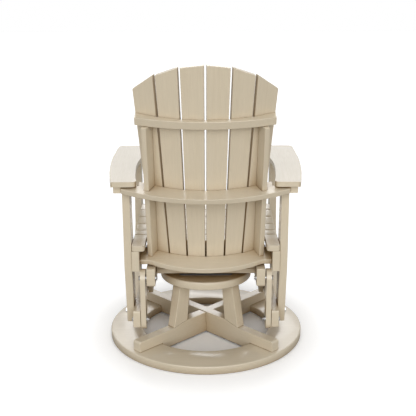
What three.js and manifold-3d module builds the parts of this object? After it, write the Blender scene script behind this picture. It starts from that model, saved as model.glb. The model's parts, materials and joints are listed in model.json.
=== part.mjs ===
// Swivel glider chair in solid plastic lumber: a ring base with crossed beams and a four-legged
// pedestal, a ball-bearing turntable, and a fan-back seat that hangs from it on four links.
// Millimetres, +Z up. The sitter faces -Y and the sitter's left is +X.
// All places are taken from the swivel axis on the floor. The last lines move the whole chair so
// that its origin is on the floor under the middle of its box.

import * as THREE from 'three';
import { mergeVertices } from 'three/addons/utils/BufferGeometryUtils.js';
import Module from 'manifold-3d';

const wasm = await Module();
wasm.setup();

// Board stock and fits
const thinBoard = 19;
const backRailBoard = 20;
const sideBoard = 28;
const roundBoard = 31.75;
const beamBoard = 38;
const fit = 0.3;
const overrun = 5;
const mergeDistance = fit / 1000;

// How finely round shapes are divided
const cornerSteps = 5;
const bowSteps = 6;
const endSteps = 12;
const railArcSteps = 32;
const ringSegments = 96;
const discSegments = 72;
const raceSegments = 48;
const boltSegments = 24;
const hexSides = 6;

// Base ring
const ringRadius = 381;
const ringWidth = 127;
const ringEdge = 4;

// Crossed beams
const beamEndSetback = 17;
const beamFloorGap = 5;
const beamEndTop = 73;
const beamCrownTop = 86.5;
const upperBeamRise = 2.5;
const beamEndRound = 10;
const ringClearance = 1;

// Pedestal legs, measured along the beams from the swivel axis
const legFootOuter = 190;
const legFootInner = 121;
const legHeadOuter = 157;
const legHeadInner = 103;

// Pedestal disc
const discRadius = 177.8;
const discBottom = 240.4;

// Turntable bearing
const plateSide = 203;
const plateCorner = 14;
const plateThickness = 3;
const plateHoleRadius = 50;
const raceInner = 54;
const raceOuter = 80;
const raceHeight = 4.4;

// Swivel frame
const hangerInner = 188.25;
const hangerHalfLength = 200;
const hangerBottom = 264;
const hangerTop = 334;
const hangerRound = 12;
const crossBoardInner = 82;
const frameSlip = 0.3;

// Links and their pivots
const pivotY = 178;
const upperPivotZ = 292;
const lowerPivotZ = 126;
const linkHalfWidth = 35;
const linkInner = 224;

// Pivot bolts
const shankRadius = 5;
const sleeveRadius = 8;
const runningClearance = 0.5;
const nutRadius = 9.2;
const nutHeight = 8.5;
const washerRadius = 11.5;
const washerHeight = 2;
const headRadius = 9.2;
const headHeight = 6.5;

// Glide rails, which carry the seat on the lower pivots
const glideRailInner = 245;
const glideRailBottom = 103;
const glideRailTop = 170;
const glideRailHalfLength = 207;
const glideRailRound = 7;

// Rear posts and front legs: upright above the seat, and drawn in below it to the glide rails
const postRear = 190;
const postBottom = 101;
const postKneeZ = 345;
const postSeatZ = 375;
const postFootRear = 144;
const postFootDepth = 66;
const postSeatDepth = 90;
const postHeadDepth = 62;
const postRound = 6;
const frontLegFace = -355;
const frontKneeZ = 410;

// Seat rails and seat boards
const seatRailBottom = 325;
const seatRailRear = 200;
const seatRailFrontRise = 40;
const seatRearTop = 425;
const seatBoard = 22;
const seatGap = 6;
const seatRearFront = 60;
const seatRearPitch = 57;
const seatSlatPitch = 69;
const seatNosePitch = 54;
const seatLipPitch = 44;
const evenSeatSlats = 4;
const seatSlopeAngles = [0, 4, 8, 8.5, 4, -16, -54].map(THREE.MathUtils.degToRad);
const earInner = 224;
const earRound = 14;
const backNotchGap = 1;

// Back: a plane leaning back from the lower rail, with flat slats set round it like staves
const backLean = THREE.MathUtils.degToRad(16.4);
const backY = 147;
const backZ = 366;
const slatStep = THREE.MathUtils.degToRad(9.6);
const slatsPerSide = 3;
const slatPitchBottom = 70.3;
const slatPitchTop = 87.5;
const slatBoard = 19;
const slatGapBottom = 6;
const slatGapTop = 9;
const backLength = 750;
const backArchRadius = 355;
const slatOverhang = 22;

// Back rails, all square to the leaning back
const lowerRailDepth = 80;
const lowerRailRadius = 405;
const lowerRailEarX = 208;
const middleRailDepth = 65;
const middleRailRadius = 640;
const middleRailEnd = 301.5;
const middleRailHornGap = 18.69;
const upperRailDepth = 20;
const upperRailRadius = 740;
const upperRailOverhang = 0.66;
const upperRailDrop = 190;

// Braces behind the outer slats
const braceX = 189.5;
const braceDepth = 48;

// Arms
const armUnderside = 651;
const armBoard = 19;
const armRear = 220;
const armFront = -462;
const armRearOuter = 338;
const armMidOuter = 378;
const armFrontOuter = 381;
const armRearInner = 247;
const armWaistInner = 269;
const armFrontInner = 252;
const armBow = 4;
const armCorner = 22;
const armRearCorner = 5.5;
const outerBowShares = [0.01, 0.26, 0.56, 0.8, 0.95];
const frontCornerShare = 0.96;
const waistShares = [0.68, 0.43, 0.16, 0.03];
const cleatHeight = 26;
const cleatRear = 206;
const cleatFront = -340;

// Sizes that follow
const beamHalf = beamBoard / 2;
const ringTop = roundBoard;
const ringHoleRadius = ringRadius - ringWidth;
const beamReach = ringRadius - beamEndSetback;
const discTop = discBottom + roundBoard;
const lowerPlateBottom = discTop + fit;
const raceBottom = lowerPlateBottom + plateThickness + fit;
const upperPlateBottom = raceBottom + raceHeight + fit;
const turntableBottom = upperPlateBottom + plateThickness + fit;
const crossBoardBottom = turntableBottom + thinBoard + fit;
const hangerOuter = hangerInner + roundBoard;
const linkOuter = linkInner + thinBoard;
const glideRailOuter = glideRailInner + sideBoard - fit;
const postInner = glideRailInner + sideBoard;
const postTop = armUnderside - fit;
const seatEnd = postInner - 2 * fit;
const upperRailTop = backLength - upperRailDrop;
const slatStaves = [...Array(slatsPerSide).keys()].map((k) => (k + 0.5) * slatStep);

// Finishes
const sandLumber = { color: 0xcbbda2, roughness: 0.62, metalness: 0 };
const stainlessSteel = { color: 0xb9bbbd, roughness: 0.25, metalness: 1 };
const zincPlate = { color: 0x8f9294, roughness: 0.4, metalness: 1 };

// A shape through corners [a, b, radius]; a corner with a radius is rounded
function roundedShape(corners) {
  const shape = new THREE.Shape();
  const count = corners.length;
  corners.forEach(([a, b, radius = 0], i) => {
    const [pa, pb] = corners[(i + count - 1) % count];
    const [na, nb] = corners[(i + 1) % count];
    const here = new THREE.Vector2(a, b);
    const back = new THREE.Vector2(pa - a, pb - b).normalize();
    const ahead = new THREE.Vector2(na - a, nb - b).normalize();
    const cut = radius / Math.tan(Math.acos(THREE.MathUtils.clamp(back.dot(ahead), -1, 1)) / 2);
    const start = here.clone().addScaledVector(back, cut);
    const end = here.clone().addScaledVector(ahead, cut);
    if (i === 0) shape.moveTo(start.x, start.y);
    else shape.lineTo(start.x, start.y);
    if (radius > 0) shape.quadraticCurveTo(here.x, here.y, end.x, end.y);
  });
  shape.closePath();
  return shape;
}

function roundHole(a, b, radius) {
  return new THREE.Path().absarc(a, b, radius, 0, 2 * Math.PI, true);
}

// Boards are extruded from flat stock. A flat board's outline is in X and Y, with its thickness up.
function flatBoard(shape, thickness, curveSegments = cornerSteps) {
  return new THREE.ExtrudeGeometry(shape, { depth: thickness, bevelEnabled: false, curveSegments });
}

// A board on edge along the chair: the outline is in Y and Z, with the thickness along +X
function lengthwiseBoard(shape, thickness, curveSegments = cornerSteps) {
  const geometry = flatBoard(shape, thickness, curveSegments);
  const turn = new THREE.Matrix4().makeBasis(
    new THREE.Vector3(0, 1, 0),
    new THREE.Vector3(0, 0, 1),
    new THREE.Vector3(1, 0, 0),
  );
  return geometry.applyMatrix4(turn);
}

// A closed ring or disc turned round Z, with its edges rounded
function turnedBoard(inner, outer, height, edge, segments) {
  const corner = (x, y, from) => [0, 1, 2].map((step) => {
    const angle = from + (step * Math.PI) / 4;
    return new THREE.Vector2(x + edge * Math.cos(angle), y + edge * Math.sin(angle));
  });
  const rim = [
    ...corner(outer - edge, edge, -Math.PI / 2),
    ...corner(outer - edge, height - edge, 0),
  ];
  const bore = inner > 0
    ? [
      ...corner(inner + edge, height - edge, Math.PI / 2),
      ...corner(inner + edge, edge, Math.PI),
    ]
    : [new THREE.Vector2(0, height), new THREE.Vector2(0, 0)];
  const profile = [...rim, ...bore];
  if (inner > 0) profile.push(rim[0].clone());
  else profile.unshift(profile.pop());
  return new THREE.LatheGeometry(profile, segments).rotateX(Math.PI / 2);
}

function toSolid(geometry) {
  const bare = geometry.clone();
  bare.deleteAttribute('normal');
  bare.deleteAttribute('uv');
  const merged = mergeVertices(bare, mergeDistance);
  return new wasm.Manifold(new wasm.Mesh({
    numProp: 3,
    vertProperties: new Float32Array(merged.attributes.position.array),
    triVerts: new Uint32Array(merged.index.array),
  }));
}

function toGeometry(solid) {
  const mesh = solid.getMesh();
  const geometry = new THREE.BufferGeometry();
  geometry.setAttribute('position', new THREE.BufferAttribute(mesh.vertProperties, 3));
  geometry.setIndex(new THREE.BufferAttribute(mesh.triVerts, 1));
  geometry.computeVertexNormals();
  return geometry;
}

function join(...geometries) {
  return toGeometry(geometries.map(toSolid).reduce((whole, next) => whole.add(next)));
}

function cut(geometry, ...tools) {
  return toGeometry(tools.map(toSolid).reduce((whole, tool) => whole.subtract(tool), toSolid(geometry)));
}

function addPiece(group, name, geometry, finish = sandLumber) {
  const mesh = new THREE.Mesh(geometry, new THREE.MeshStandardMaterial(finish));
  mesh.name = name;
  group.add(mesh);
  return mesh;
}

// Both sides of the chair: +X is the sitter's left
const sides = [['left', 1], ['right', -1]];
const ends = [['rear', 1], ['front', -1]];

// Puts a lengthwise board with its inner face at x = inner on the side given
function placeAtSide(mesh, side, inner, thickness) {
  mesh.position.x = side > 0 ? inner : -inner - thickness;
}

// Base: ring, beams and pedestal
function beamOutline(crown, notchBottom, notchTop) {
  const low = Math.sqrt(ringHoleRadius ** 2 - beamHalf ** 2) - ringClearance;
  const seat = ringTop + fit;
  const slot = beamHalf + fit;
  const half = [
    [beamReach, seat],
    [beamReach, beamEndTop, beamEndRound],
    [legFootOuter, beamEndTop],
    [legFootInner, crown],
  ];
  const underside = [[low, beamFloorGap], [low, seat]];
  const mirror = (points) => points.map(([u, z, r]) => [-u, z, r]).reverse();
  const topSlot = notchTop ? [[slot, crown], [slot, notchTop], [-slot, notchTop], [-slot, crown]] : [];
  const lowSlot = notchBottom
    ? [[-slot, beamFloorGap], [-slot, notchBottom], [slot, notchBottom], [slot, beamFloorGap]]
    : [];
  return roundedShape([...underside, ...half, ...topSlot, ...mirror(half), ...mirror(underside), ...lowSlot]);
}

function makeBase() {
  const base = new THREE.Group();
  addPiece(base, 'base_ring', turnedBoard(ringHoleRadius, ringRadius, ringTop, ringEdge, ringSegments));

  const lap = (beamFloorGap + beamCrownTop) / 2;
  const upperCrown = beamCrownTop + upperBeamRise;
  const lowerBeam = addPiece(
    base, 'base_beam_lower', lengthwiseBoard(beamOutline(beamCrownTop, 0, lap - fit), beamBoard),
  );
  const upperBeam = addPiece(
    base, 'base_beam_upper', lengthwiseBoard(beamOutline(upperCrown, lap, 0), beamBoard),
  );
  [[lowerBeam, -1], [upperBeam, 1]].forEach(([beam, turn]) => {
    beam.geometry.translate(-beamHalf, 0, 0);
    beam.rotation.z = (turn * Math.PI) / 4;
  });

  ends.forEach(([endName, end]) => sides.forEach(([sideName, side]) => {
    const crown = end * side > 0 ? beamCrownTop : upperCrown;
    const outline = roundedShape([
      [legFootInner, crown + fit],
      [legFootOuter, beamEndTop + fit],
      [legHeadOuter, discBottom - fit],
      [legHeadInner, discBottom - fit],
    ]);
    const leg = addPiece(
      base, `pedestal_leg_${endName}_${sideName}`, lengthwiseBoard(outline, beamBoard),
    );
    leg.geometry.translate(-beamHalf, 0, 0);
    leg.rotation.z = Math.atan2(-side, end);
  }));

  const disc = addPiece(
    base, 'pedestal_disc', turnedBoard(0, discRadius, roundBoard, ringEdge, discSegments),
  );
  disc.position.z = discBottom;
  const lowerPlate = addPiece(base, 'bearing_lower_plate', bearingPlate(), zincPlate);
  lowerPlate.position.z = lowerPlateBottom;
  const race = addPiece(
    base, 'bearing_race',
    turnedBoard(raceInner, raceOuter, raceHeight, raceHeight / 4, raceSegments), stainlessSteel,
  );
  race.position.z = raceBottom;
  return base;
}

function bearingPlate() {
  const half = plateSide / 2;
  const shape = roundedShape([
    [-half, -half, plateCorner],
    [half, -half, plateCorner],
    [half, half, plateCorner],
    [-half, half, plateCorner],
  ]);
  shape.holes.push(roundHole(0, 0, plateHoleRadius));
  return flatBoard(shape, plateThickness, endSteps);
}

// A pivot bolt along +X with its nut at the inner end: the shank passes the fixed board, and a
// sleeve with a washer on each side carries the link
function pivotBolt(innerEnd, outerEnd, linkFirst) {
  const along = (radius, from, to, segments = boltSegments) => (
    new THREE.CylinderGeometry(radius, radius, to - from, segments)
      .rotateZ(Math.PI / 2)
      .translate((from + to) / 2, 0, 0)
  );
  const sleeveFrom = linkInner - fit;
  const sleeveTo = linkOuter + fit;
  const fixedFrom = linkFirst ? glideRailInner : hangerInner;
  const fixedTo = linkFirst ? glideRailOuter : hangerOuter;
  const spacer = linkFirst
    ? along(washerRadius, sleeveTo, fixedFrom - fit)
    : along(washerRadius, fixedTo + fit, sleeveFrom);
  return join(
    along(shankRadius, innerEnd - nutHeight, outerEnd + headHeight / 2),
    along(sleeveRadius, sleeveFrom - fit, sleeveTo + fit),
    spacer,
    along(washerRadius, innerEnd - washerHeight, innerEnd),
    along(nutRadius, innerEnd - washerHeight - nutHeight / 2, innerEnd - washerHeight / 2, hexSides),
    along(washerRadius, outerEnd, outerEnd + washerHeight),
    along(headRadius, outerEnd + washerHeight / 2, outerEnd + headHeight, hexSides),
  );
}

// Swivel frame: bearing top, turntable board, cross boards and hanger rails
function makeSwivelFrame() {
  const frame = new THREE.Group();
  const upperPlate = addPiece(frame, 'bearing_upper_plate', bearingPlate(), zincPlate);
  upperPlate.position.z = upperPlateBottom;

  const halfWidth = hangerInner - frameSlip;
  const halfDepth = crossBoardInner + sideBoard;
  const turntable = addPiece(frame, 'turntable_board', flatBoard(roundedShape([
    [-halfWidth, -halfDepth],
    [halfWidth, -halfDepth],
    [halfWidth, halfDepth],
    [-halfWidth, halfDepth],
  ]), thinBoard));
  turntable.position.z = turntableBottom;

  const crossHeight = hangerTop - crossBoardBottom;
  ends.forEach(([name, end]) => {
    const board = addPiece(
      frame, `swivel_cross_board_${name}`, new THREE.BoxGeometry(2 * halfWidth, sideBoard, crossHeight),
    );
    board.position.set(0, end * (crossBoardInner + sideBoard / 2), crossBoardBottom + crossHeight / 2);
  });

  const hangerOutline = roundedShape([
    [-hangerHalfLength, hangerBottom, hangerRound],
    [hangerHalfLength, hangerBottom, hangerRound],
    [hangerHalfLength, hangerTop],
    [-hangerHalfLength, hangerTop],
  ]);
  ends.forEach(([, end]) => {
    hangerOutline.holes.push(roundHole(end * pivotY, upperPivotZ, shankRadius + fit));
  });
  sides.forEach(([sideName, side]) => {
    const rail = addPiece(frame, `hanger_rail_${sideName}`, lengthwiseBoard(hangerOutline, roundBoard));
    placeAtSide(rail, side, hangerInner, roundBoard);
    ends.forEach(([endName, end]) => {
      const bolt = addPiece(
        frame, `upper_bolt_${endName}_${sideName}`,
        pivotBolt(hangerInner - fit, linkOuter + 3 * fit, false), stainlessSteel,
      );
      bolt.position.set(0, end * pivotY, upperPivotZ);
      bolt.rotation.z = side > 0 ? 0 : Math.PI;
    });
  });
  return frame;
}

// Links: round-ended boards that hang from the upper pivots
function makeLinks() {
  const links = new THREE.Group();
  const outline = new THREE.Shape();
  outline.absarc(0, upperPivotZ, linkHalfWidth, 0, Math.PI, false);
  outline.absarc(0, lowerPivotZ, linkHalfWidth, Math.PI, 2 * Math.PI, false);
  outline.closePath();
  [upperPivotZ, lowerPivotZ].forEach((z) => {
    outline.holes.push(roundHole(0, z, sleeveRadius + runningClearance));
  });
  ends.forEach(([endName, end]) => sides.forEach(([sideName, side]) => {
    const link = addPiece(
      links, `link_${endName}_${sideName}`, lengthwiseBoard(outline, thinBoard, endSteps),
    );
    placeAtSide(link, side, linkInner, thinBoard);
    link.position.y = end * pivotY;
  }));
  return links;
}

// Lower frame of the seat: glide rails, rear posts (end 1) and front legs (end -1)
function legOutline(end, face, kneeZ) {
  return roundedShape([
    [face, postTop],
    [face, kneeZ],
    [end * postFootRear, postBottom, postRound],
    [end * (postFootRear - postFootDepth), postBottom, postRound],
    [face - end * postSeatDepth, postSeatZ],
    [face - end * postHeadDepth, postTop],
  ]);
}

function makeSideFrames() {
  const frame = new THREE.Group();
  const railOutline = roundedShape([
    [-glideRailHalfLength, glideRailBottom, glideRailRound],
    [glideRailHalfLength, glideRailBottom, glideRailRound],
    [glideRailHalfLength, glideRailTop, glideRailRound],
    [-glideRailHalfLength, glideRailTop, glideRailRound],
  ]);
  ends.forEach(([, end]) => {
    railOutline.holes.push(roundHole(end * pivotY, lowerPivotZ, shankRadius + fit));
  });
  const postOutline = legOutline(1, postRear, postKneeZ);
  const frontOutline = legOutline(-1, frontLegFace, frontKneeZ);
  const railThickness = glideRailOuter - glideRailInner;

  sides.forEach(([sideName, side]) => {
    const rail = addPiece(frame, `glide_rail_${sideName}`, lengthwiseBoard(railOutline, railThickness));
    placeAtSide(rail, side, glideRailInner, railThickness);
    const post = addPiece(frame, `rear_post_${sideName}`, lengthwiseBoard(postOutline, sideBoard));
    placeAtSide(post, side, postInner, sideBoard);
    const leg = addPiece(frame, `front_leg_${sideName}`, lengthwiseBoard(frontOutline, sideBoard));
    placeAtSide(leg, side, postInner, sideBoard);
    ends.forEach(([endName, end]) => {
      const bolt = addPiece(
        frame, `lower_bolt_${endName}_${sideName}`,
        pivotBolt(linkInner - 3 * fit, glideRailOuter + fit, true), stainlessSteel,
      );
      bolt.position.set(0, end * pivotY, lowerPivotZ);
      bolt.rotation.z = side > 0 ? 0 : Math.PI;
    });
  });
  return frame;
}

// Seat: the joints between the boards' top faces, from the rear board to the front lip
function seatJoints() {
  const evenPitches = Array(evenSeatSlats).fill(seatSlatPitch);
  const pitches = [seatRearPitch, ...evenPitches, seatNosePitch, seatLipPitch];
  const joints = [new THREE.Vector2(seatRearFront, seatRearTop)];
  seatSlopeAngles.forEach((angle, i) => {
    const step = new THREE.Vector2(-Math.cos(angle), Math.sin(angle)).multiplyScalar(pitches[i]);
    joints.push(joints[i].clone().add(step));
  });
  return joints;
}

// The same joints moved down by a distance square to the boards, mitred at each joint
function loweredJoints(joints, distance) {
  return joints.map((joint, i) => {
    const before = i > 0 ? joint.clone().sub(joints[i - 1]) : new THREE.Vector2(-1, 0);
    const after = i < joints.length - 1 ? joints[i + 1].clone().sub(joint) : before.clone();
    const normal = (v) => new THREE.Vector2(v.y, -v.x).normalize();
    const mitre = normal(before).add(normal(after)).normalize();
    return joint.clone().addScaledVector(mitre, -distance / mitre.dot(normal(after)));
  });
}

// Where the front faces of the back slats pass a level, at stave joint k
function backFrontAt(z, k) {
  const turn = slatStaves[Math.min(Math.abs(k), slatsPerSide - 1)];
  const across = -slatBoard / Math.cos(turn);
  const [, lower] = staveJoint(0, k);
  const height = (z - backZ + (lower + across) * Math.sin(backLean)) / Math.cos(backLean);
  const [x, depth] = staveJoint(height, k);
  return [x, backY + (depth + across) * Math.cos(backLean) + height * Math.sin(backLean)];
}

function makeSeat() {
  const seat = new THREE.Group();
  const rearBottom = seatRearTop - seatBoard;
  const notch = [...Array(2 * slatsPerSide + 1).keys()]
    .map((i) => backFrontAt(rearBottom, slatsPerSide - i))
    .map(([x, y]) => [x, y - backNotchGap]);
  const notchSide = backFrontAt(seatRearTop, slatsPerSide)[0] + backNotchGap;
  const rearOutline = roundedShape([
    [-seatEnd, seatRearFront + seatGap / 2],
    [seatEnd, seatRearFront + seatGap / 2],
    [seatEnd, seatRailRear, earRound],
    [earInner, seatRailRear, earRound],
    [earInner, notch[0][1]],
    [notchSide, notch[0][1]],
    ...notch.slice(1, -1),
    [-notchSide, notch[0][1]],
    [-earInner, notch[0][1]],
    [-earInner, seatRailRear, earRound],
    [-seatEnd, seatRailRear, earRound],
  ]);
  const rearBoard = addPiece(seat, 'seat_board_rear', flatBoard(rearOutline, seatBoard));
  rearBoard.position.z = rearBottom;

  const joints = seatJoints();
  const undersides = loweredJoints(joints, seatBoard);
  seatSlopeAngles.forEach((angle, i) => {
    const inset = joints[i + 1].clone().sub(joints[i]).setLength(seatGap / 2);
    const corners = [
      joints[i].clone().add(inset),
      joints[i + 1].clone().sub(inset),
      undersides[i + 1].clone().sub(inset),
      undersides[i].clone().add(inset),
    ];
    const outline = roundedShape(corners.map((c) => [c.x, c.y]));
    const slat = addPiece(seat, `seat_slat_${i + 1}`, lengthwiseBoard(outline, 2 * seatEnd));
    slat.position.x = -seatEnd;
  });

  const bearing = loweredJoints(joints, seatBoard + fit);
  const last = bearing[bearing.length - 1];
  const railOutline = roundedShape([
    [seatRailRear, seatRailBottom],
    [seatRailRear, rearBottom - fit],
    ...bearing.map((c) => [c.x, c.y]),
    [last.x + seatLipPitch / 2, seatRailBottom + seatRailFrontRise],
    [last.x + seatSlatPitch, seatRailBottom],
  ]);
  const railThickness = glideRailOuter - glideRailInner;
  sides.forEach(([sideName, side]) => {
    const rail = addPiece(seat, `seat_rail_${sideName}`, lengthwiseBoard(railOutline, railThickness));
    placeAtSide(rail, side, glideRailInner, railThickness);
  });
  return seat;
}

// Joint k between the staves (0 at the middle) at a height along the leaning back: x and depth
function staveJoint(height, k) {
  const pitch = slatPitchBottom + ((slatPitchTop - slatPitchBottom) * height) / backLength;
  const reach = slatStaves.slice(0, Math.abs(k)).reduce(
    ([x, depth], turn) => [x + pitch * Math.cos(turn), depth - pitch * Math.sin(turn)], [0, 0],
  );
  return [Math.sign(k) * reach[0], reach[1]];
}

function stavePoint(height, k) {
  const [x, depth] = staveJoint(height, k);
  return new THREE.Vector3(x, depth, height);
}

// Height of the fan's arched top at a distance from the middle
function archHeight(x) {
  return backLength - backArchRadius + Math.sqrt(backArchRadius ** 2 - x ** 2);
}

// A flat frame on the rear face of a slat: across, out of the face to the rear, and along
function slatFrame(k) {
  const origin = stavePoint(0, k);
  const across = stavePoint(0, k + 1).sub(origin).normalize();
  const rise = stavePoint(backLength, k).sub(origin);
  const along = rise.addScaledVector(across, -rise.dot(across)).normalize();
  const outward = along.clone().cross(across).normalize();
  return { origin, across, outward, along };
}

function backSlat(k) {
  const { origin, across, outward, along } = slatFrame(k);
  const cornerAt = (joint, height, gap, inward) => {
    const offset = stavePoint(height, joint).sub(origin);
    return [offset.dot(across) + (inward * gap) / 2, offset.dot(along)];
  };
  const topAt = (joint) => archHeight(Math.abs(staveJoint(backLength, joint)[0]));
  const leftGap = k > -slatsPerSide ? 1 : 0;
  const rightGap = k < slatsPerSide - 1 ? -1 : 0;
  const outline = roundedShape([
    cornerAt(k, -slatOverhang, slatGapBottom, leftGap),
    cornerAt(k + 1, -slatOverhang, slatGapBottom, rightGap),
    cornerAt(k + 1, topAt(k + 1), slatGapTop, rightGap),
    cornerAt(k, topAt(k), slatGapTop, leftGap),
  ]);
  const geometry = flatBoard(outline, slatBoard);
  const basis = new THREE.Matrix4().makeBasis(across, along, outward.clone().negate());
  return { geometry, basis, origin };
}

// A curved rail square to the back: its front edge follows the slats and its rear edge is an arc
function railOutline(height, end, rearDepth, hornX, hornFront) {
  const joints = [...Array(2 * slatsPerSide + 1).keys()].map((i) => i - slatsPerSide);
  const front = joints.map((k) => staveJoint(height, k)).map(([x, depth]) => [x, depth + fit]);
  const outer = front[front.length - 1];
  const horn = hornFront === null
    ? [[end, outer[1] - (end - outer[0]) * Math.tan(slatStaves[slatsPerSide - 1])]]
    : [[hornX, outer[1] - (hornX - outer[0]) * Math.tan(slatStaves[slatsPerSide - 1])],
      [hornX, hornFront], [end, hornFront]];
  const rear = [...Array(railArcSteps + 1).keys()]
    .map((i) => end - (2 * end * i) / railArcSteps)
    .map((x) => [x, rearDepth(x)]);
  const mirrored = horn.map(([x, y]) => [-x, y]).reverse();
  return roundedShape([...mirrored, ...front, ...horn, ...rear]);
}

function arcDepth(depth, radius, x) {
  return depth - radius + Math.sqrt(radius ** 2 - x ** 2);
}

// A brace stands square on the rear face of an outer slat and keeps its distance from the middle
function braceFrame(side) {
  const k = side > 0 ? slatsPerSide - 1 : -slatsPerSide;
  const { origin, across, outward, along } = slatFrame(k);
  const sway = along.x / across.x;
  const up = along.clone().addScaledVector(across, -sway).normalize();
  const acrossBrace = outward.clone().cross(up).normalize();
  const reach = (side * braceX - origin.x) / across.x;
  const foot = origin.clone().addScaledVector(across, reach);
  return { foot, up, outward, acrossBrace };
}

function braceGeometry(from, to, grow) {
  const length = to - from + 2 * grow;
  return new THREE.BoxGeometry(thinBoard + 2 * grow, braceDepth + 2 * grow, length)
    .translate(0, braceDepth / 2 + fit, (from + to) / 2);
}

function makeBack() {
  const back = new THREE.Group();
  back.position.set(0, backY, backZ);
  back.rotation.x = -backLean;

  for (let k = -slatsPerSide; k < slatsPerSide; k += 1) {
    const { geometry, basis, origin } = backSlat(k);
    const slat = addPiece(back, `back_slat_${k + slatsPerSide + 1}`, geometry);
    slat.position.copy(origin);
    slat.quaternion.setFromRotationMatrix(basis);
  }

  const lowerRearDepth = (x) => (
    arcDepth(lowerRailDepth, lowerRailRadius, Math.min(Math.abs(x), lowerRailEarX))
  );
  const lowerEnd = glideRailInner - fit;
  const lower = addPiece(
    back, 'back_rail_lower', flatBoard(railOutline(0, lowerEnd, lowerRearDepth, 0, null), backRailBoard),
  );
  lower.position.z = -backRailBoard;

  const postGap = postRear + fit - backY;
  const middleTop = Math.cos(backLean) * (armUnderside - fit - backZ + postGap * Math.tan(backLean))
    + backRailBoard * Math.sin(backLean) ** 2;
  const hornX = staveJoint(middleTop, slatsPerSide)[0] + middleRailHornGap;
  const hornFront = (postGap - (middleTop - backRailBoard) * Math.sin(backLean)) / Math.cos(backLean);
  const middleRearDepth = (x) => arcDepth(middleRailDepth, middleRailRadius, x);
  const middleBlank = flatBoard(
    railOutline(middleTop, middleRailEnd, middleRearDepth, hornX, hornFront), backRailBoard,
  ).translate(0, 0, middleTop - backRailBoard);

  const upperRailEnd = staveJoint(upperRailTop, slatsPerSide)[0] + upperRailOverhang;
  const upperRearDepth = (x) => arcDepth(upperRailDepth, upperRailRadius, x);
  const upper = addPiece(
    back, 'back_rail_upper',
    flatBoard(railOutline(upperRailTop, upperRailEnd, upperRearDepth, 0, null), sideBoard),
  );
  upper.position.z = upperRailTop - sideBoard;

  const braceTop = upperRailTop - sideBoard - 2 * fit;
  const slots = sides.map(([sideName, side]) => {
    const { foot, up, outward, acrossBrace } = braceFrame(side);
    const basis = new THREE.Matrix4().makeBasis(acrossBrace, outward, up);
    const brace = addPiece(back, `back_brace_${sideName}`, braceGeometry(2 * fit, braceTop, 0));
    brace.position.copy(foot);
    brace.quaternion.setFromRotationMatrix(basis);
    const place = basis.clone().setPosition(foot);
    return braceGeometry(middleTop - backRailBoard - overrun, middleTop + overrun, fit).applyMatrix4(place);
  });
  addPiece(back, 'back_rail_middle', cut(middleBlank, ...slots));
  return back;
}

// Arms: wide boards with a bowed outer edge and a waisted inner edge, and a cleat under each
function armOutline(side) {
  const at = (x, share) => new THREE.Vector2(side * x, THREE.MathUtils.lerp(armRear, armFront, share));
  const along = (widths, shares) => widths.map((x, i) => at(x, shares[i]));
  const shape = new THREE.Shape();
  const lineTo = (point) => shape.lineTo(point.x, point.y);
  const cornerTo = (corner, end) => shape.quadraticCurveTo(corner.x, corner.y, end.x, end.y);
  const rearStart = at(armRearInner + armCorner, 0);
  shape.moveTo(rearStart.x, rearStart.y);
  lineTo(at(armRearOuter - armRearCorner, 0));
  const outerBow = (armRearOuter + armMidOuter) / 2 + armBow;
  shape.splineThru(along(
    [armRearOuter, outerBow, armMidOuter, armFrontOuter, armFrontOuter], outerBowShares,
  ));
  cornerTo(at(armFrontOuter, 1), at(armFrontOuter - armCorner, 1));
  lineTo(at(armFrontInner + armCorner, 1));
  cornerTo(at(armFrontInner, 1), at(armFrontInner, frontCornerShare));
  const frontWaist = (armFrontInner + armWaistInner) / 2;
  const rearWaist = (armWaistInner + armRearInner) / 2;
  shape.splineThru(along([frontWaist, armWaistInner, rearWaist, armRearInner], waistShares));
  cornerTo(at(armRearInner, 0), rearStart);
  return shape;
}

function makeArms() {
  const arms = new THREE.Group();
  const cleatBottom = postTop - cleatHeight;
  const cleatOutline = roundedShape([
    [cleatFront, cleatBottom],
    [cleatRear, cleatBottom],
    [cleatRear, postTop],
    [cleatFront, postTop],
  ]);
  sides.forEach(([sideName, side]) => {
    const arm = addPiece(arms, `arm_${sideName}`, flatBoard(armOutline(side), armBoard, bowSteps));
    arm.position.z = armUnderside;
    const cleat = addPiece(arms, `arm_cleat_${sideName}`, lengthwiseBoard(cleatOutline, sideBoard));
    placeAtSide(cleat, side, middleRailEnd + 2 * fit, sideBoard);
  });
  return arms;
}

const chair = new THREE.Group();
chair.add(makeBase(), makeSwivelFrame(), makeLinks(), makeSideFrames(), makeSeat(), makeBack(), makeArms());
chair.updateMatrixWorld(true);
const box = new THREE.Box3().setFromObject(chair, true);
chair.position.y = -(box.min.y + box.max.y) / 2;

export default chair;
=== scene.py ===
import json
import math
import random

import bpy
import numpy as np
from bpy.props import FloatProperty, FloatVectorProperty, IntProperty, PointerProperty
from mathutils import Matrix, Vector

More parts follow.
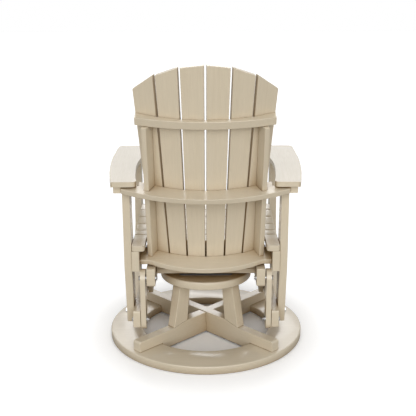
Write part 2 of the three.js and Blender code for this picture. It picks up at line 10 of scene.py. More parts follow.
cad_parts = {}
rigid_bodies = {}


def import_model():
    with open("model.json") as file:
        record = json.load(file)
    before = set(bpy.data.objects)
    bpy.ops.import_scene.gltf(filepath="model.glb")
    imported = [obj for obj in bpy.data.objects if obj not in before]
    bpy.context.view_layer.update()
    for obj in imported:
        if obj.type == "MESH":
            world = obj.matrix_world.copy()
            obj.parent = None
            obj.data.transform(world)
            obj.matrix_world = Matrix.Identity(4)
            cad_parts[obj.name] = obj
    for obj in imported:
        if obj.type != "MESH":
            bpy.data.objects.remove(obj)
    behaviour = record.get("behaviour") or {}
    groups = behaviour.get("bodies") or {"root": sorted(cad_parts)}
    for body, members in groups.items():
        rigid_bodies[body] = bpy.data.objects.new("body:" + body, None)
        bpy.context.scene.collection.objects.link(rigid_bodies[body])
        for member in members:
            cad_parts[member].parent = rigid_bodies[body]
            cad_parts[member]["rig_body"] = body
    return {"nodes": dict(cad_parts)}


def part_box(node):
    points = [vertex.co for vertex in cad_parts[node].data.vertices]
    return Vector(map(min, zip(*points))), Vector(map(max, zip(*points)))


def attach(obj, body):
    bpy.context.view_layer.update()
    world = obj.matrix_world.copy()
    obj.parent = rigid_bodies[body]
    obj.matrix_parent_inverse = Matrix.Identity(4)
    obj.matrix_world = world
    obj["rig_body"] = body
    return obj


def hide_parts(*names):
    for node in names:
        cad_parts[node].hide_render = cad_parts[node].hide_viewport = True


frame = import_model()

bl_info = {
    "name": "Swivel Glider Chair",
    "version": (1, 0, 0),
    "blender": (4, 5, 0),
    "location": "View3D > Sidebar > Glider Chair",
    "description": "Rounds, dresses, screws together and lights a swivel glider chair",
    "category": "Object",
}

SIDES = ("left", "right")
ENDS = ("rear", "front")
SEAT_SLAT_COUNT = 7
BACK_SLAT_COUNT = 6

ROUND_BOARDS = ["base_ring", "pedestal_disc"]
BASE_BOARDS = ["base_beam_lower", "base_beam_upper"]
BASE_BOARDS += [f"pedestal_leg_{end}_{side}" for end in ENDS for side in SIDES]
BEARING = ["bearing_lower_plate", "bearing_race", "bearing_upper_plate"]
SWIVEL_BOARDS = ["turntable_board"]
SWIVEL_BOARDS += [f"swivel_cross_board_{end}" for end in ENDS]
SWIVEL_BOARDS += [f"hanger_rail_{side}" for side in SIDES]
LINKS = [f"link_{end}_{side}" for end in ENDS for side in SIDES]
BOLTS = [f"{level}_bolt_{end}_{side}" for level in ("upper", "lower") for end in ENDS for side in SIDES]
SIDE_BOARDS = [f"{name}_{side}" for name in ("glide_rail", "rear_post", "front_leg") for side in SIDES]
SEAT_SLATS = ["seat_board_rear"] + [f"seat_slat_{i}" for i in range(1, SEAT_SLAT_COUNT + 1)]
SEAT_RAILS = [f"seat_rail_{side}" for side in SIDES]
BACK_SLATS = [f"back_slat_{i}" for i in range(1, BACK_SLAT_COUNT + 1)]
BACK_RAILS = ["back_rail_lower", "back_rail_middle", "back_rail_upper"]
BACK_BRACES = [f"back_brace_{side}" for side in SIDES]
ARM_BOARDS = [f"{name}_{side}" for name in ("arm", "arm_cleat") for side in SIDES]

# How closely the points of a solid are merged, and how far two faces may turn and still be one
MERGE_DISTANCE = 0.00001
FLAT_ANGLE = math.radians(0.6)
# An edge that turns further than this is rounded
EDGE_ANGLE = math.radians(28)

# Where most of a noise lies between 0 and 1
NOISE_LOW, NOISE_HIGH = 0.3, 0.7
# The lumber's marks: length to width, and fineness
STREAK_STRETCH, STREAK_DETAIL = 26, 5.0
GRAIN_STRETCH, GRAIN_DETAIL = 30, 3.0
MOTTLE_LENGTH, MOTTLE_WIDTH, MOTTLE_DETAIL = 0.30, 0.12, 2.0
# How much of the light tint the streaks and the mottle bring, from least to most
STREAK_SHARE = (0.1, 0.6)
MOTTLE_SHARE = (0.0, 0.3)
# How far the grain darkens the lumber, and how far a painted highlight lightens its sharp edges
GRAIN_SHADE = (0.96, 1.03)
PAINTED_EDGE_HIGHLIGHT = (1.0, 1.06)
EDGE_POINTINESS = (0.50, 0.56)
# Painted shade: an ambient occlusion node darkens and browns the lumber's colour in joints, corners and
# under things. How open a place is where the painted shade is darkest, and where it ends
PAINTED_SHADE_OPENNESS = (0.05, 0.60)
PAINTED_SHADE_SAMPLES = 8
# The lumber's gloss and relief
GRAIN_ROUGHNESS = (0.20, 0.28)
MOTTLE_ROUGHNESS = (-0.04, 0.04)
SKIN_ROUGHNESS = 0.2
STREAK_RELIEF = 0.5
GRAIN_STRENGTH = 0.5

# The metals: roughness, and the width and depth of their scratches
METALS = {
    "stainless_steel": ("steel_colour", 0.24, 0.0004, 0.00004),
    "zinc_steel": ("zinc_and_painted_shade_colour", 0.5, 0.0010, 0.00006),
}
SCRATCH_STRETCH, SCRATCH_DETAIL, SCRATCH_STRENGTH = 12, 4.0, 0.4
SCRATCH_ROUGHNESS = (0.7, 1.4)
TARNISH_SIZE, TARNISH_DETAIL = 0.02, 3.0
TARNISH_SHADE = (0.88, 1.10)

# A screw head in shares of its radius: its height, then the widths and rises of its dome and recess
SCREW_SIDES = 20
SCREW_HEIGHT = 0.42
SCREW_DOME_WIDTH, SCREW_DOME_RISE = 0.22, 0.08
SCREW_RECESS_WIDTH, SCREW_RECESS_RISE, SCREW_RECESS_DEPTH = 0.36, 0.02, 0.34
SCREW_SMOOTH_ANGLE = math.radians(32)
# From the middle of a back slat to each of its screws, and how the screw heads turn from one to the next
SCREW_OFFSET = 0.019
SCREW_TURN_ACROSS, SCREW_TURN_UP = 70, 9

# A frame bolt: its head in metres, and the rest in shares of the head's radius or height
HEX_RADIUS, HEX_HEIGHT, HEX_TURN = 0.0085, 0.0075, 0.3
WASHER_SIDES, WASHER_WIDTH, WASHER_HEIGHT, WASHER_ROUND = 32, 1.25, 0.28, 0.2
HEX_SIDES, HEX_CHAMFER_WIDTH, HEX_CHAMFER_RISE, HEX_ROUND = 6, 0.14, 0.06, 0.04
STEEL_ROUND_STEPS = 2

FLOOR_SIZE = 60
FLOOR_DROP = 0.0004
FLOOR_ROUGHNESS, FLOOR_GLOSS = 0.9, 0.1
LAMP_HEIGHT = 4
SENSOR_WIDTH = 36.0


class GliderLumberSettings(bpy.types.PropertyGroup):
    """Sizes and colours of the plastic lumber"""

    edge_radius: FloatProperty(
        name="Edge radius", description="Rounding along the edges of the boards",
        default=0.0022, min=0.0005, unit="LENGTH",
    )
    light_tint: FloatVectorProperty(
        name="Light tint", description="Colour of the lumber's lighter streaks",
        default=(0.685, 0.600, 0.462), size=3, min=0, max=1, subtype="COLOR",
    )
    dark_tint: FloatVectorProperty(
        name="Dark tint", description="Colour of the lumber's darker streaks",
        default=(0.633, 0.547, 0.408), size=3, min=0, max=1, subtype="COLOR",
    )
    tone_spread: FloatProperty(
        name="Tone spread", description="How far one board's tone may differ from the next",
        default=0.035, min=0, max=0.2, subtype="FACTOR",
    )
    streak_width: FloatProperty(
        name="Streak width", description="Width of the soft streaks along a board",
        default=0.009, min=0.001, unit="LENGTH",
    )
    grain_width: FloatProperty(
        name="Grain width", description="Width of the fine embossed grain lines",
        default=0.0016, min=0.0002, unit="LENGTH",
    )
    grain_depth: FloatProperty(
        name="Grain depth", description="Depth of the fine embossed grain lines",
        default=0.0004, min=0, unit="LENGTH",
    )
    sheen: FloatProperty(
        name="Satin sheen", description="Strength of the lumber's satin outer skin",
        default=0.35, min=0, max=1, subtype="FACTOR",
    )
    # Painted shade: the tint and reach of the shade painted into the lumber's colour in joints, corners and
    # under things
    painted_shade_tint: FloatVectorProperty(
        name="Painted shade tint", description="Tint of the dust that gathers in the joints and corners",
        default=(0.44, 0.30, 0.13), size=3, min=0, max=1, subtype="COLOR",
    )
    painted_shade_reach: FloatProperty(
        name="Painted shade reach", description="How far the dust reaches out of a joint or corner",
        default=0.20, min=0.001, unit="LENGTH",
    )


class GliderHardwareSettings(bpy.types.PropertyGroup):
    """Sizes and colours of the bolts, screws and bearing"""

    steel_colour: FloatVectorProperty(
        name="Stainless steel", description="Colour of the bolts and screws",
        default=(0.58, 0.58, 0.59), size=3, min=0, max=1, subtype="COLOR",
    )
    # Partly the plates' zinc colour and partly painted shade: the colour is darkened to stand in for the
    # deep shade around the bearing under the seat
    zinc_and_painted_shade_colour: FloatVectorProperty(
        name="Zinc plate and painted shade", description="Colour of the bearing's plates",
        default=(0.15, 0.14, 0.13), size=3, min=0, max=1, subtype="COLOR",
    )
    steel_edge_radius: FloatProperty(
        name="Steel edge radius", description="Rounding along the edges of the steel parts",
        default=0.0005, min=0.0001, unit="LENGTH",
    )
    screw_radius: FloatProperty(
        name="Screw head radius", description="Radius of a screw head",
        default=0.0046, min=0.001, unit="LENGTH",
    )
    frame_bolt_height: FloatProperty(
        name="Frame bolt height", description="Height of the bolts that hold the posts to the glide rails",
        default=0.137, unit="LENGTH",
    )
    frame_bolt_rear: FloatProperty(
        name="Rear frame bolt", description="Place of the rear frame bolts along the chair",
        default=0.1575, unit="LENGTH",
    )
    frame_bolt_front: FloatProperty(
        name="Front frame bolt", description="Place of the front frame bolts along the chair",
        default=-0.095, unit="LENGTH",
    )


class GliderStageSettings(bpy.types.PropertyGroup):
    """Light, floor and camera"""

    dome_strength: FloatProperty(
        name="Dome light", description="Strength of the even light from all round",
        default=0.35, min=0,
    )
    key_strength: FloatProperty(
        name="Key light", description="Strength of the broad light from the camera's side",
        default=2.1, min=0,
    )
    key_slope: FloatProperty(
        name="Key slope", description="How far the key light is turned from straight down",
        default=math.radians(-70), subtype="ANGLE",
    )
    key_spread: FloatProperty(
        name="Key spread", description="How broad the key light is",
        default=math.radians(68), subtype="ANGLE",
    )
    rim_strength: FloatProperty(
        name="Rim light", description="Strength of the broad light from beyond the chair",
        default=0.94, min=0,
    )
    rim_slope: FloatProperty(
        name="Rim slope", description="How far the rim light is turned from straight down",
        default=math.radians(52), subtype="ANGLE",
    )
    rim_spread: FloatProperty(
        name="Rim spread", description="How broad the rim light is",
        default=math.radians(40), subtype="ANGLE",
    )
    floor_colour: FloatVectorProperty(
        name="Floor", description="Colour of the floor as it is seen",
        default=(0.90, 0.90, 0.90), size=3, min=0, max=1, subtype="COLOR",
    )
    floor_fade: FloatVectorProperty(
        name="Floor fade", description="Distances from the chair between which the floor turns white",
        default=(0.26, 0.56), size=2, min=0, unit="LENGTH",
    )
    floor_glow: FloatProperty(
        name="Floor glow", description="How much white the far floor shows over its lit colour",
        default=0.5, min=0,
    )
    floor_bounce: FloatVectorProperty(
        name="Floor bounce", description="Colour of the light that the floor throws back on the chair",
        default=(0.52, 0.50, 0.46), size=3, min=0, max=1, subtype="COLOR",
    )
    camera_place: FloatVectorProperty(
        name="Camera", description="Place of the camera", default=(0.0, 2.7607, 1.2797), size=3,
        subtype="TRANSLATION", unit="LENGTH",
    )
    camera_pitch: FloatProperty(
        name="Camera pitch", description="How far the camera looks down",
        default=math.radians(15.754), subtype="ANGLE",
    )
    camera_yaw: FloatProperty(
        name="Camera yaw", description="How far the camera looks to the side",
        default=math.radians(-0.190), subtype="ANGLE",
    )
    camera_roll: FloatProperty(
        name="Camera roll", description="How far the camera is tilted",
        default=math.radians(-0.132), subtype="ANGLE",
    )
    camera_lens: FloatProperty(
        name="Lens", description="Focal length of the camera", default=63.03, min=1, unit="CAMERA",
    )


def deselect():
    if bpy.context.mode != "OBJECT":
        bpy.ops.object.mode_set(mode="OBJECT")
    bpy.ops.object.select_all(action="DESELECT")


def work_on(piece):
    deselect()
    piece.select_set(True)
    bpy.context.view_layer.objects.active = piece


def apply_modifiers(piece):
    work_on(piece)
    for modifier in list(piece.modifiers):
        bpy.ops.object.modifier_apply(modifier=modifier.name)


def clean_mesh(piece):
    """Merges loose triangles into whole flat faces that look outwards."""
    work_on(piece)
    bpy.ops.object.mode_set(mode="EDIT")
    bpy.ops.mesh.select_all(action="SELECT")
    bpy.ops.mesh.remove_doubles(threshold=MERGE_DISTANCE)
    bpy.ops.mesh.dissolve_limited(angle_limit=FLAT_ANGLE)
    bpy.ops.mesh.normals_make_consistent(inside=False)
    bpy.ops.object.mode_set(mode="OBJECT")


def round_edges(piece, radius, segments=3):
    """Rounds every edge that turns sharply, and shades the rest smoothly."""
    work_on(piece)
    bpy.ops.mesh.customdata_custom_splitnormals_clear()
    bpy.ops.object.shade_smooth()
    rounding = piece.modifiers.new("edge rounding", "BEVEL")
    rounding.width = radius
    rounding.segments = segments
    rounding.limit_method = "ANGLE"
    rounding.angle_limit = EDGE_ANGLE
    rounding.harden_normals = True
    rounding.use_clamp_overlap = True
    apply_modifiers(piece)


def board_axes(points, is_round):
    """The long, broad and thin directions of a board, from how its points are spread."""
    if is_round:
        return np.eye(3)
    centred = points - points.mean(0)
    _, directions = np.linalg.eigh(centred.T @ centred)
    return directions[:, ::-1].T


def mark_board(piece, is_round):
    """Gives each point its place along, across and through the board, and the board its tone."""
    points = np.array([v.co for v in piece.data.vertices], float)
    source = np.array([v.co for v in frame["nodes"][piece["stands_for"]].data.vertices], float)
    axes = board_axes(np.unique(source.round(5), axis=0), is_round)
    picker = random.Random(piece.name)
    offset = np.array([picker.uniform(-9, 9) for _ in range(3)])
    place = piece.data.attributes.new("board_place", "FLOAT_VECTOR", "POINT")
    place.data.foreach_set("vector", (points @ axes.T + offset).astype(np.float32).ravel())
    tone = piece.data.attributes.new("board_tone", "FLOAT", "POINT")
    tone.data.foreach_set("value", np.full(len(points), picker.uniform(-1, 1), np.float32))


def link_nodes(tree, *pairs):
    for source, target in pairs:
        tree.links.new(source, target)


def add_node(tree, kind, **values):
    """A shader node with some of its values and inputs set."""
    node = tree.nodes.new(kind)
    for key, value in values.items():
        if key in node.inputs:
            node.inputs[key].default_value = value
        else:
            setattr(node, key, value)
    return node


def new_material(name):
    material = bpy.data.materials.new(name)
    material.use_nodes = True
    return material, material.node_tree, material.node_tree.nodes["Principled BSDF"]


def stretched_noise(tree, place, along, across, detail):
    """Noise that runs in lines along the board."""
    mapping = add_node(tree, "ShaderNodeMapping")
    mapping.inputs["Scale"].default_value = (1 / along, 1 / across, 1 / across)
    noise = add_node(tree, "ShaderNodeTexNoise", Scale=1.0, Detail=detail, Roughness=0.6)
    link_nodes(tree, (place, mapping.inputs["Vector"]), (mapping.outputs["Vector"], noise.inputs["Vector"]))
    return noise.outputs["Fac"]


def remap(tree, value, low, high, from_low=0.0, from_high=1.0):
    """A value moved from one range to another and held within it."""
    node = add_node(tree, "ShaderNodeMapRange")
    node.inputs["From Min"].default_value = from_low
    node.inputs["From Max"].default_value = from_high
    node.inputs["To Min"].default_value = low
    node.inputs["To Max"].default_value = high
    tree.links.new(value, node.inputs["Value"])
    return node.outputs["Result"]


def calculate(tree, operation, first, second):
    """The result of a sum of two sockets or numbers."""
    node = add_node(tree, "ShaderNodeMath", operation=operation)
    for socket, value in zip(node.inputs, (first, second)):
        if isinstance(value, bpy.types.NodeSocket):
            tree.links.new(value, socket)
        else:
            socket.default_value = value
    return node.outputs["Value"]


def lumber_material(name):
    """Sand-coloured plastic lumber: soft streaks, fine embossed grain, a painted highlight along its sharp
    edges and painted shade in its joints and corners.
    """
    settings = bpy.context.scene.glider_lumber
    material, tree, shader = new_material(name)
    place = add_node(tree, "ShaderNodeAttribute", attribute_name="board_place").outputs["Vector"]
    tone = add_node(tree, "ShaderNodeAttribute", attribute_name="board_tone").outputs["Fac"]
    wide, fine = settings.streak_width, settings.grain_width
    streaks = stretched_noise(tree, place, wide * STREAK_STRETCH, wide, STREAK_DETAIL)
    grain = stretched_noise(tree, place, fine * GRAIN_STRETCH, fine, GRAIN_DETAIL)
    mottle = stretched_noise(tree, place, MOTTLE_LENGTH, MOTTLE_WIDTH, MOTTLE_DETAIL)

    tints = add_node(tree, "ShaderNodeMix", data_type="RGBA")
    tints.inputs["A"].default_value = (*settings.dark_tint, 1)
    tints.inputs["B"].default_value = (*settings.light_tint, 1)
    share = calculate(
        tree, "ADD",
        remap(tree, streaks, *STREAK_SHARE, NOISE_LOW, NOISE_HIGH),
        remap(tree, mottle, *MOTTLE_SHARE, NOISE_LOW, NOISE_HIGH),
    )
    tree.links.new(share, tints.inputs["Factor"])

    grain_shade = remap(tree, grain, *GRAIN_SHADE, NOISE_LOW, NOISE_HIGH)
    tone_shade = remap(tree, tone, 1 - settings.tone_spread, 1 + settings.tone_spread, -1.0, 1.0)
    # Painted highlight: the colour is lightened along the sharp edges, where pointiness is high
    edge = add_node(tree, "ShaderNodeNewGeometry").outputs["Pointiness"]
    painted_edge_highlight = remap(tree, edge, *PAINTED_EDGE_HIGHLIGHT, *EDGE_POINTINESS)
    shade = calculate(tree, "MULTIPLY", calculate(tree, "MULTIPLY", grain_shade, tone_shade), painted_edge_highlight)
    shaded = add_node(tree, "ShaderNodeVectorMath", operation="SCALE")
    # Painted shade: the colour is darkened and browned where other surfaces are near, in joints, corners and
    # under the seat
    openness = add_node(
        tree, "ShaderNodeAmbientOcclusion", samples=PAINTED_SHADE_SAMPLES, Distance=settings.painted_shade_reach,
    )
    painted_shade = add_node(tree, "ShaderNodeMix", data_type="RGBA")
    painted_shade.inputs["A"].default_value = (*settings.painted_shade_tint, 1)
    painted_shade.inputs["B"].default_value = (1, 1, 1, 1)
    with_painted_shade = add_node(tree, "ShaderNodeVectorMath", operation="MULTIPLY")
    link_nodes(
        tree,
        (tints.outputs["Result"], shaded.inputs[0]),
        (shade, shaded.inputs["Scale"]),
        (remap(tree, openness.outputs["AO"], 0.0, 1.0, *PAINTED_SHADE_OPENNESS), painted_shade.inputs["Factor"]),
        (shaded.outputs["Vector"], with_painted_shade.inputs[0]),
        (painted_shade.outputs["Result"], with_painted_shade.inputs[1]),
        (with_painted_shade.outputs["Vector"], shader.inputs["Base Color"]),
    )

    rough = calculate(
        tree, "ADD", remap(tree, grain, *GRAIN_ROUGHNESS), remap(tree, mottle, *MOTTLE_ROUGHNESS),
    )
    tree.links.new(rough, shader.inputs["Roughness"])
    shader.inputs["Coat Weight"].default_value = settings.sheen
    shader.inputs["Coat Roughness"].default_value = SKIN_ROUGHNESS
    height = calculate(tree, "ADD", grain, calculate(tree, "MULTIPLY", streaks, STREAK_RELIEF))
    bump = add_node(tree, "ShaderNodeBump", Strength=GRAIN_STRENGTH, Distance=settings.grain_depth)
    link_nodes(tree, (height, bump.inputs["Height"]), (bump.outputs["Normal"], shader.inputs["Normal"]))
    return material


def metal_material(name, colour, roughness, scratch_width, scratch_depth):
    """Brushed or plated steel with fine scratches and a slight mottle."""
    material, tree, shader = new_material(name)
    place = add_node(tree, "ShaderNodeTexCoord").outputs["Object"]
    scratches = stretched_noise(
        tree, place, scratch_width * SCRATCH_STRETCH, scratch_width, SCRATCH_DETAIL,
    )
    tarnish = stretched_noise(tree, place, TARNISH_SIZE, TARNISH_SIZE, TARNISH_DETAIL)
    smooth, rough = [roughness * share for share in SCRATCH_ROUGHNESS]
    shaded = add_node(tree, "ShaderNodeVectorMath", operation="SCALE")
    shaded.inputs[0].default_value = colour
    link_nodes(
        tree,
        (remap(tree, tarnish, *TARNISH_SHADE, NOISE_LOW, NOISE_HIGH), shaded.inputs["Scale"]),
        (shaded.outputs["Vector"], shader.inputs["Base Color"]),
        (remap(tree, scratches, smooth, rough, NOISE_LOW, NOISE_HIGH), shader.inputs["Roughness"]),
    )
    shader.inputs["Metallic"].default_value = 1.0
    bump = add_node(tree, "ShaderNodeBump", Strength=SCRATCH_STRENGTH, Distance=scratch_depth)
    link_nodes(tree, (scratches, bump.inputs["Height"]), (bump.outputs["Normal"], shader.inputs["Normal"]))
    return material


def finish_material(slot):
    """The one material of a finish, made the first time that it is asked for."""
    found = bpy.data.materials.get(f"{slot}_finish")
    if found:
        return found
    if slot == "sand_lumber":
        return lumber_material(f"{slot}_finish")
    colour, roughness, scratch_width, scratch_depth = METALS[slot]
    tint = getattr(bpy.context.scene.glider_hardware, colour)
    return metal_material(f"{slot}_finish", tint, roughness, scratch_width, scratch_depth)


def dress(piece, slot):
    piece.data.materials.clear()
    piece.data.materials.append(finish_material(slot))


def rounded_copy(node, slot, radius, is_round=False):
    """A copy of a solid with rounded edges, which stands for it."""
    source = frame["nodes"][node]
    piece = bpy.data.objects.new(f"{node}_rounded", source.data.copy())
    bpy.context.scene.collection.objects.link(piece)
    piece["stands_for"] = node
    clean_mesh(piece)
    round_edges(piece, radius)
    if slot == "sand_lumber":
        mark_board(piece, is_round)
    dress(piece, slot)
    del piece["stands_for"]
    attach(piece, source["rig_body"])
    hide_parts(node)
    return piece


def round_boards(nodes, is_round=False):
    """Rounded copies of some boards, in the lumber's finish."""
    radius = bpy.context.scene.glider_lumber.edge_radius
    return [rounded_copy(node, "sand_lumber", radius, is_round) for node in nodes]


def largest_face(piece, direction):
    """The largest face that looks in a direction: its normal and corners."""
    faces = [f for f in piece.data.polygons if f.normal.dot(direction) > 0.6]
    if not faces:
        raise RuntimeError(f"{piece.name} has no face towards {tuple(direction)}")
    face = max(faces, key=lambda f: f.area)
    return face.normal.copy(), [piece.data.vertices[i].co.copy() for i in face.vertices]


def join_copies(name, model, places):
    """Copies a model to each place, joins the copies and removes the model."""
    copies = []
    for place in places:
        copy = bpy.data.objects.new(name, model.data.copy())
        copy.data.transform(place)
        bpy.context.scene.collection.objects.link(copy)
        copies.append(copy)
    deselect()
    for copy in copies:
        copy.select_set(True)
    bpy.context.view_layer.objects.active = copies[0]
    bpy.ops.object.join()
    joined = bpy.context.view_layer.objects.active
    joined.name = name
    bpy.data.objects.remove(model)
    return joined


def facing(point, normal, turn=0.0):
    """A placement at a point that turns +Z to the normal."""
    direction = Vector(normal).to_track_quat("Z", "Y").to_matrix().to_4x4()
    return Matrix.Translation(point) @ direction @ Matrix.Rotation(turn, 4, "Z")


def select_top_faces(piece, above):
    """In edit mode, selects the faces that look up and lie above a height."""
    bpy.ops.mesh.select_all(action="DESELECT")
    bpy.ops.object.mode_set(mode="OBJECT")
    for face in piece.data.polygons:
        face.select = face.normal.z > 0.9 and face.center.z > above
    bpy.ops.object.mode_set(mode="EDIT")
    bpy.ops.mesh.select_mode(type="FACE")


def screw_head(radius):
    """A low domed screw head with a round recess, which looks up from the origin."""
    deselect()
    height = radius * SCREW_HEIGHT
    bpy.ops.mesh.primitive_cylinder_add(
        vertices=SCREW_SIDES, radius=radius, depth=height, location=(0, 0, height / 2),
    )
    head = bpy.context.view_layer.objects.active
    bpy.ops.object.transform_apply(location=True)
    bpy.ops.object.mode_set(mode="EDIT")
    select_top_faces(head, height / 2)
    bpy.ops.mesh.inset(thickness=radius * SCREW_DOME_WIDTH)
    bpy.ops.transform.translate(value=(0, 0, radius * SCREW_DOME_RISE))
    bpy.ops.mesh.inset(thickness=radius * SCREW_RECESS_WIDTH)
    bpy.ops.transform.translate(value=(0, 0, radius * SCREW_RECESS_RISE))
    bpy.ops.mesh.extrude_region_move(
        TRANSFORM_OT_translate={"value": (0, 0, -radius * SCREW_RECESS_DEPTH)},
    )
    bpy.ops.object.mode_set(mode="OBJECT")
    bpy.ops.object.shade_smooth_by_angle(angle=SCREW_SMOOTH_ANGLE)
    return head


def hex_head(radius, height):
    """A chamfered hex bolt head on a washer, which looks up from the origin."""
    deselect()
    washer = height * WASHER_HEIGHT
    bpy.ops.mesh.primitive_cylinder_add(
        vertices=WASHER_SIDES, radius=radius * WASHER_WIDTH, depth=washer, location=(0, 0, washer / 2),
    )
    plate = bpy.context.view_layer.objects.active
    bpy.ops.object.transform_apply(location=True)
    round_edges(plate, washer * WASHER_ROUND, STEEL_ROUND_STEPS)
    deselect()
    bpy.ops.mesh.primitive_cylinder_add(
        vertices=HEX_SIDES, radius=radius, depth=height - washer, location=(0, 0, (height + washer) / 2),
    )
    head = bpy.context.view_layer.objects.active
    bpy.ops.object.transform_apply(location=True)
    bpy.ops.object.mode_set(mode="EDIT")
    select_top_faces(head, height / 2)
    bpy.ops.mesh.inset(thickness=radius * HEX_CHAMFER_WIDTH)
    bpy.ops.transform.translate(value=(0, 0, height * HEX_CHAMFER_RISE))
    bpy.ops.object.mode_set(mode="OBJECT")
    round_edges(head, height * HEX_ROUND, STEEL_ROUND_STEPS)
    deselect()
    plate.select_set(True)
    head.select_set(True)
    bpy.context.view_layer.objects.active = head
    bpy.ops.object.join()
    return head


class GLIDER_OT_ring_base(bpy.types.Operator):
    """Make the base ring, the crossed beams, the pedestal's legs and its disc"""

    bl_idname = "glider.ring_base"
    bl_label = "Ring base"

    def execute(self, context):
        round_boards(ROUND_BOARDS, is_round=True)
        round_boards(BASE_BOARDS)
        return {"FINISHED"}


class GLIDER_OT_turntable(bpy.types.Operator):
    """Make the bearing and the swivelling frame above it"""

    bl_idname = "glider.turntable"
    bl_label = "Turntable"

    def execute(self, context):
        for node in BEARING:
            rounded_copy(node, "zinc_steel", context.scene.glider_hardware.steel_edge_radius)
        round_boards(SWIVEL_BOARDS)
        return {"FINISHED"}


class GLIDER_OT_links(bpy.types.Operator):
    """Make the links and their pivot bolts"""

    bl_idname = "glider.links"
    bl_label = "Links and pivot bolts"

    def execute(self, context):
        round_boards(LINKS)
        for node in BOLTS:
            rounded_copy(node, "stainless_steel", context.scene.glider_hardware.steel_edge_radius)
        return {"FINISHED"}


class GLIDER_OT_side_frames(bpy.types.Operator):
    """Make the glide rails, posts and front legs, with the bolts that hold them together"""

    bl_idname = "glider.side_frames"
    bl_label = "Side frames"

    def execute(self, context):
        round_boards(SIDE_BOARDS)
        hardware = context.scene.glider_hardware
        bolted = (("rear_post", hardware.frame_bolt_rear), ("front_leg", hardware.frame_bolt_front))
        places = []
        for side in (1, -1):
            for node, along in bolted:
                _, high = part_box(f"{node}_left")
                point = (side * high.x, along, hardware.frame_bolt_height)
                places.append(facing(point, (side, 0, 0), HEX_TURN + along))
        heads = join_copies("frame_bolt_heads", hex_head(HEX_RADIUS, HEX_HEIGHT), places)
        dress(heads, "stainless_steel")
        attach(heads, "seat_unit")
        return {"FINISHED"}


class GLIDER_OT_seat(bpy.types.Operator):
    """Make the seat rails and the seat boards"""

    bl_idname = "glider.seat"
    bl_label = "Seat"

    def execute(self, context):
        round_boards(SEAT_RAILS)
        round_boards(SEAT_SLATS)
        return {"FINISHED"}


class GLIDER_OT_back(bpy.types.Operator):
    """Make the fan of back slats, its rails and braces, and the screws on its front"""

    bl_idname = "glider.back"
    bl_label = "Back"

    def execute(self, context):
        rails = round_boards(BACK_RAILS)
        round_boards(BACK_BRACES)
        back_up, _ = largest_face(rails[-1], Vector((0, 0, 1)))
        levels = []
        for node in BACK_RAILS:
            points = np.array([v.co for v in frame["nodes"][node].data.vertices], float)
            levels.append(Vector((points.min(0) + points.max(0)) / 2).dot(back_up))
        places = []
        for slat in round_boards(BACK_SLATS):
            normal, corners = largest_face(slat, Vector((0, -1, 0)))
            ordered = sorted(corners, key=lambda c: c.dot(back_up))
            foot = (ordered[0] + ordered[1]) / 2
            head = (ordered[-1] + ordered[-2]) / 2
            across = back_up.cross(normal).normalized()
            for level in levels:
                share = (level - foot.dot(back_up)) / (head - foot).dot(back_up)
                middle = foot.lerp(head, share)
                for side in (1, -1):
                    point = middle + across * side * SCREW_OFFSET
                    turn = point.x * SCREW_TURN_ACROSS + level * SCREW_TURN_UP
                    places.append(facing(point, normal, turn))
        screws = join_copies("back_screws", screw_head(context.scene.glider_hardware.screw_radius), places)
        dress(screws, "stainless_steel")
        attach(screws, "seat_unit")
        return {"FINISHED"}


class GLIDER_OT_arms(bpy.types.Operator):
    """Make the arms and the cleats under them"""

    bl_idname = "glider.arms"
    bl_label = "Arms"

    def execute(self, context):
        round_boards(ARM_BOARDS)
        return {"FINISHED"}


class GLIDER_OT_stage(bpy.types.Operator):
    """Make the floor, the soft light and the camera"""

    bl_idname = "glider.stage"
    bl_label = "Stage"

    def execute(self, context):
        settings = context.scene.glider_stage
        add_floor(settings)
        add_light(settings)
        add_camera(settings)
        context.scene.view_settings.view_transform = "Standard"
        return {"FINISHED"}


def add_floor(settings):
    """A pale floor that keeps the chair's shadow and turns white further out."""
    deselect()
    bpy.ops.mesh.primitive_plane_add(size=FLOOR_SIZE, location=(0, 0, -FLOOR_DROP))
    floor = bpy.context.view_layer.objects.active
    floor.name = "studio_floor"
    material, tree, shader = new_material("pale_floor")
    rays = add_node(tree, "ShaderNodeLightPath")
    tints = add_node(tree, "ShaderNodeMix", data_type="RGBA")
    tints.inputs["A"].default_value = (*settings.floor_bounce, 1)
    tints.inputs["B"].default_value = (*settings.floor_colour, 1)
    link_nodes(
        tree,
        (rays.outputs["Is Camera Ray"], tints.inputs["Factor"]),
        (tints.outputs["Result"], shader.inputs["Base Color"]),
    )
    place = add_node(tree, "ShaderNodeTexCoord").outputs["Object"]
    distance = add_node(tree, "ShaderNodeVectorMath", operation="LENGTH")
    tree.links.new(place, distance.inputs[0])
    glow = remap(tree, distance.outputs["Value"], 0.0, settings.floor_glow, *settings.floor_fade)
    shader.inputs["Emission Color"].default_value = (1, 1, 1, 1)
    tree.links.new(
        calculate(tree, "MULTIPLY", glow, rays.outputs["Is Camera Ray"]), shader.inputs["Emission Strength"],
    )
    shader.inputs["Roughness"].default_value = FLOOR_ROUGHNESS
    shader.inputs["Specular IOR Level"].default_value = FLOOR_GLOSS
    floor.data.materials.append(material)


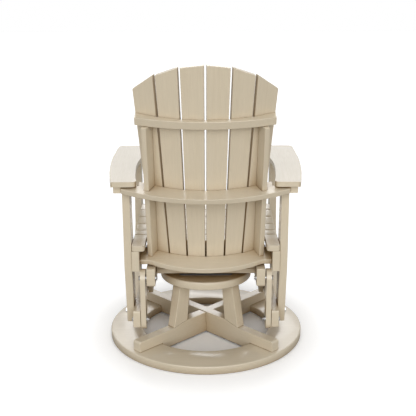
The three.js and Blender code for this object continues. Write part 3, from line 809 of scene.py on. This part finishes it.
def add_light(settings):
    """An even light from all round, a broad one from the camera's side and one from beyond."""
    world = bpy.data.worlds.new("soft_studio")
    bpy.context.scene.world = world
    world.use_nodes = True
    tree = world.node_tree
    dome = tree.nodes["Background"]
    dome.inputs["Color"].default_value = (1, 1, 1, 1)
    dome.inputs["Strength"].default_value = settings.dome_strength
    white = add_node(tree, "ShaderNodeBackground", Strength=1.0)
    white.inputs["Color"].default_value = (1, 1, 1, 1)
    rays = add_node(tree, "ShaderNodeLightPath")
    seen = calculate(tree, "MAXIMUM", rays.outputs["Is Camera Ray"], rays.outputs["Is Glossy Ray"])
    seen = calculate(tree, "MAXIMUM", seen, rays.outputs["Is Transmission Ray"])
    mix = add_node(tree, "ShaderNodeMixShader")
    link_nodes(
        tree,
        (seen, mix.inputs["Fac"]),
        (dome.outputs["Background"], mix.inputs[1]),
        (white.outputs["Background"], mix.inputs[2]),
        (mix.outputs["Shader"], tree.nodes["World Output"].inputs["Surface"]),
    )
    softboxes = (
        ("key_softbox", settings.key_slope, settings.key_strength, settings.key_spread),
        ("rim_softbox", settings.rim_slope, settings.rim_strength, settings.rim_spread),
    )
    for name, slope, strength, spread in softboxes:
        deselect()
        bpy.ops.object.light_add(type="SUN", location=(0, 0, LAMP_HEIGHT), rotation=(slope, 0, 0))
        softbox = bpy.context.view_layer.objects.active
        softbox.name = name
        softbox.data.energy = strength
        softbox.data.angle = spread


def add_camera(settings):
    """The photo's camera, turned by its pitch, yaw and roll."""
    pitch, yaw, roll = settings.camera_pitch, settings.camera_yaw, settings.camera_roll
    forward = Vector((math.sin(yaw) * math.cos(pitch), -math.cos(yaw) * math.cos(pitch), -math.sin(pitch)))
    level = forward.cross(Vector((0, 0, 1))).normalized()
    upright = level.cross(forward)
    right = level * math.cos(roll) + upright * math.sin(roll)
    up = upright * math.cos(roll) - level * math.sin(roll)
    deselect()
    bpy.ops.object.camera_add()
    camera = bpy.context.view_layer.objects.active
    camera.name = "photo_camera"
    turn = Matrix((right, up, -forward)).transposed().to_4x4()
    camera.matrix_world = Matrix.Translation(settings.camera_place) @ turn
    camera.data.sensor_fit = "HORIZONTAL"
    camera.data.sensor_width = SENSOR_WIDTH
    camera.data.lens = settings.camera_lens
    bpy.context.scene.camera = camera


class GLIDER_PT_panel(bpy.types.Panel):
    """Lists the steps that make the chair"""

    bl_idname = "GLIDER_PT_panel"
    bl_label = "Glider Chair"
    bl_space_type = "VIEW_3D"
    bl_region_type = "UI"
    bl_category = "Glider Chair"

    def draw(self, context):
        layout = self.layout
        for group in ("glider_lumber", "glider_hardware", "glider_stage"):
            settings = getattr(context.scene, group)
            box = layout.box()
            for key in settings.__annotations__:
                box.prop(settings, key)
        for operator in OPERATORS:
            layout.operator(operator.bl_idname)


SETTINGS = {
    "glider_lumber": GliderLumberSettings,
    "glider_hardware": GliderHardwareSettings,
    "glider_stage": GliderStageSettings,
}
OPERATORS = (
    GLIDER_OT_ring_base,
    GLIDER_OT_turntable,
    GLIDER_OT_links,
    GLIDER_OT_side_frames,
    GLIDER_OT_seat,
    GLIDER_OT_back,
    GLIDER_OT_arms,
    GLIDER_OT_stage,
)


def register():
    for cls in (*SETTINGS.values(), *OPERATORS, GLIDER_PT_panel):
        bpy.utils.register_class(cls)
    for name, cls in SETTINGS.items():
        setattr(bpy.types.Scene, name, PointerProperty(type=cls))


def unregister():
    for name in SETTINGS:
        delattr(bpy.types.Scene, name)
    for cls in reversed((*SETTINGS.values(), *OPERATORS, GLIDER_PT_panel)):
        bpy.utils.unregister_class(cls)


def main():
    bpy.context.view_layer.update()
    register()
    bpy.ops.glider.ring_base()
    bpy.ops.glider.turntable()
    bpy.ops.glider.links()
    bpy.ops.glider.side_frames()
    bpy.ops.glider.seat()
    bpy.ops.glider.back()
    bpy.ops.glider.arms()
    bpy.ops.glider.stage()


if __name__ == "__main__":
    main()
